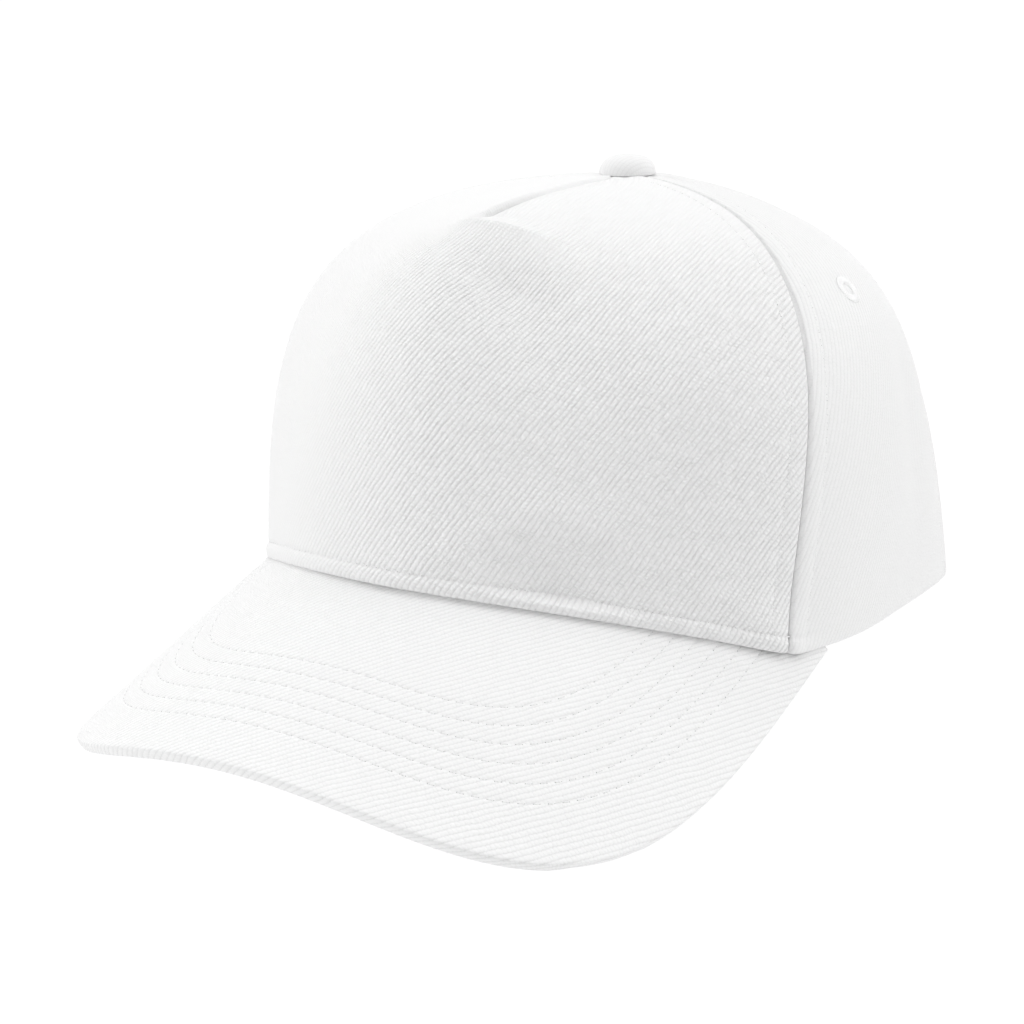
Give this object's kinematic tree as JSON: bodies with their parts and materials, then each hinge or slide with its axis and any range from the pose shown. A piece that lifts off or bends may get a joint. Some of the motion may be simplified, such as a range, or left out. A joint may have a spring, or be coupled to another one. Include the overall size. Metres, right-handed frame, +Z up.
{
  "type": "five-panel cap",
  "caption": "Soft cloth cap with a wide front panel, side and back panels, a curved peak, covered button, eyelets and a strap over the back opening.",
  "frame": {"origin": "on the table, under the middle of the whole cap", "axes": "+Z up, the peak points to -Y, +X is the wearer's left"},
  "size_m": [0.1668, 0.2522, 0.1291],
  "materials": {
    "crown_twill": "white cotton twill, fine diagonal ribs",
    "peak_twill": "white cotton twill over a bent board, stitched in rows",
    "trim_twill": "white cotton twill, close cut",
    "thread": "white sewing thread"
  },
  "bodies": {
    "root": {"front_panel": "crown_twill", "side_panel_left": "crown_twill", "side_panel_right": "crown_twill", "back_panel_left": "crown_twill", "back_panel_right": "crown_twill", "peak": "peak_twill", "back_strap": "trim_twill", "button": "trim_twill", "side_eyelet_left": "thread", "side_eyelet_right": "thread", "back_eyelet_left": "thread", "back_eyelet_right": "thread"}
  },
  "joints": []
}
